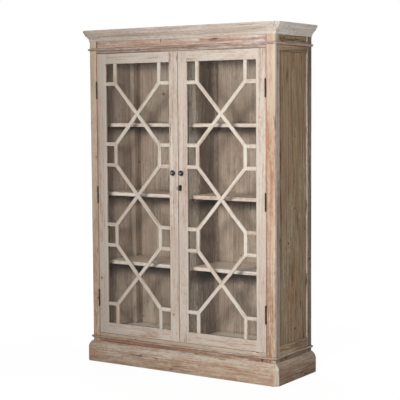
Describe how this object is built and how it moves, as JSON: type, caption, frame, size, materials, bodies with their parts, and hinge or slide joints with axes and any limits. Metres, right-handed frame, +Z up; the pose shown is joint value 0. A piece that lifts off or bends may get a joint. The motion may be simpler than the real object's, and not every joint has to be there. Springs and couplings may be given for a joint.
{
  "type": "bookcase with glass doors",
  "caption": "Tall pine bookcase with hinged glass doors behind a crossed lattice, set-back shelves, a moulded cornice and a plinth.",
  "frame": {"origin": "on the floor, at the middle of the overall width and depth", "axes": "+Z up, +X to the right of someone who faces the doors, +Y from the doors to the back"},
  "size_m": [1.426, 0.485, 2.1],
  "materials": {
    "case_pine": "old pine, limewashed and waxed",
    "door_pine": "old pine, heavily limewashed",
    "moulding_pine": "old pine, lightly limewashed",
    "inside_pine": "old pine, thin grey-brown wash",
    "clear_glass": "clear, thin",
    "dark_bronze": "dark, satin, rubbed at the edges",
    "aged_hinge_metal": "darkened by age",
    "key_brass": "worn, satin",
    "lock_steel": "plain, slightly worn"
  },
  "bodies": {
    "case": {"back_boards": "inside_pine", "back_rails": "inside_pine", "base_bead": "moulding_pine", "base_rail": "case_pine", "case_floor": "inside_pine", "case_top": "case_pine", "centre_partition": "inside_pine", "cornice_corners": "moulding_pine", "cornice_front": "moulding_pine", "cornice_returns": "moulding_pine", "frame_hinge_screws": "aged_hinge_metal", "frieze_panel": "case_pine", "header_rails": "case_pine", "hinge_frame_leaves": "aged_hinge_metal", "hinge_pins": "aged_hinge_metal", "left_face_stile": "case_pine", "left_front_post": "case_pine", "left_rear_post": "case_pine", "left_shelves": "inside_pine", "left_side_panel": "case_pine", "left_side_rails": "case_pine", "plinth_corners": "moulding_pine", "plinth_front": "moulding_pine", "plinth_returns": "moulding_pine", "right_face_stile": "case_pine", "right_front_post": "case_pine", "right_rear_post": "case_pine", "right_shelves": "inside_pine", "right_side_panel": "case_pine", "right_side_rails": "case_pine", "shelf_bearers": "inside_pine", "upper_bead": "moulding_pine"},
    "left_door": {"left_hinge_stile": "door_pine", "left_meeting_stile": "door_pine", "left_door_rails": "door_pine", "left_lattice": "door_pine", "left_glass": "clear_glass", "left_glazing_beads": "door_pine", "left_knob": "dark_bronze", "left_door_leaves": "aged_hinge_metal", "left_leaf_screws": "aged_hinge_metal", "lock_keeper": "lock_steel", "left_bolt_plates": "lock_steel"},
    "right_door": {"right_hinge_stile": "door_pine", "right_meeting_stile": "door_pine", "right_door_rails": "door_pine", "right_lattice": "door_pine", "right_glass": "clear_glass", "right_glazing_beads": "door_pine", "right_knob": "dark_bronze", "right_door_leaves": "aged_hinge_metal", "right_leaf_screws": "aged_hinge_metal", "escutcheon": "dark_bronze", "lock_case": "lock_steel"},
    "key": {"key": "key_brass"},
    "lock_bolt": {"lock_bolt": "lock_steel"},
    "left_top_bolt": {"left_top_bolt": "lock_steel"},
    "left_bottom_bolt": {"left_bottom_bolt": "lock_steel"}
  },
  "joints": [
    {"name": "left_door_hinge", "type": "hinge", "parent": "case", "child": "left_door", "pos_m": [-0.615, -0.2075, 1.0675], "axis": [0, 0, -1], "range_deg": [0, 170]},
    {"name": "right_door_hinge", "type": "hinge", "parent": "case", "child": "right_door", "pos_m": [0.615, -0.2075, 1.0675], "axis": [0, 0, 1], "range_deg": [0, 170]},
    {"name": "key_turn", "type": "hinge", "parent": "right_door", "child": "key", "pos_m": [0.016, -0.2025, 1.13], "axis": [0, 1, 0], "range_deg": [0, 180]},
    {"name": "lock_bolt_slide", "type": "slide", "parent": "right_door", "child": "lock_bolt", "axis": [-1, 0, 0], "range_m": [0, 0.009]},
    {"name": "left_top_bolt_slide", "type": "slide", "parent": "left_door", "child": "left_top_bolt", "axis": [0, 0, 1], "range_m": [0, 0.015]},
    {"name": "left_bottom_bolt_slide", "type": "slide", "parent": "left_door", "child": "left_bottom_bolt", "axis": [0, 0, -1], "range_m": [0, 0.015]}
  ],
  "couplings": [
    {"joint": "lock_bolt_slide", "follows": "key_turn", "m_per_rad": 0.0028647}
  ]
}
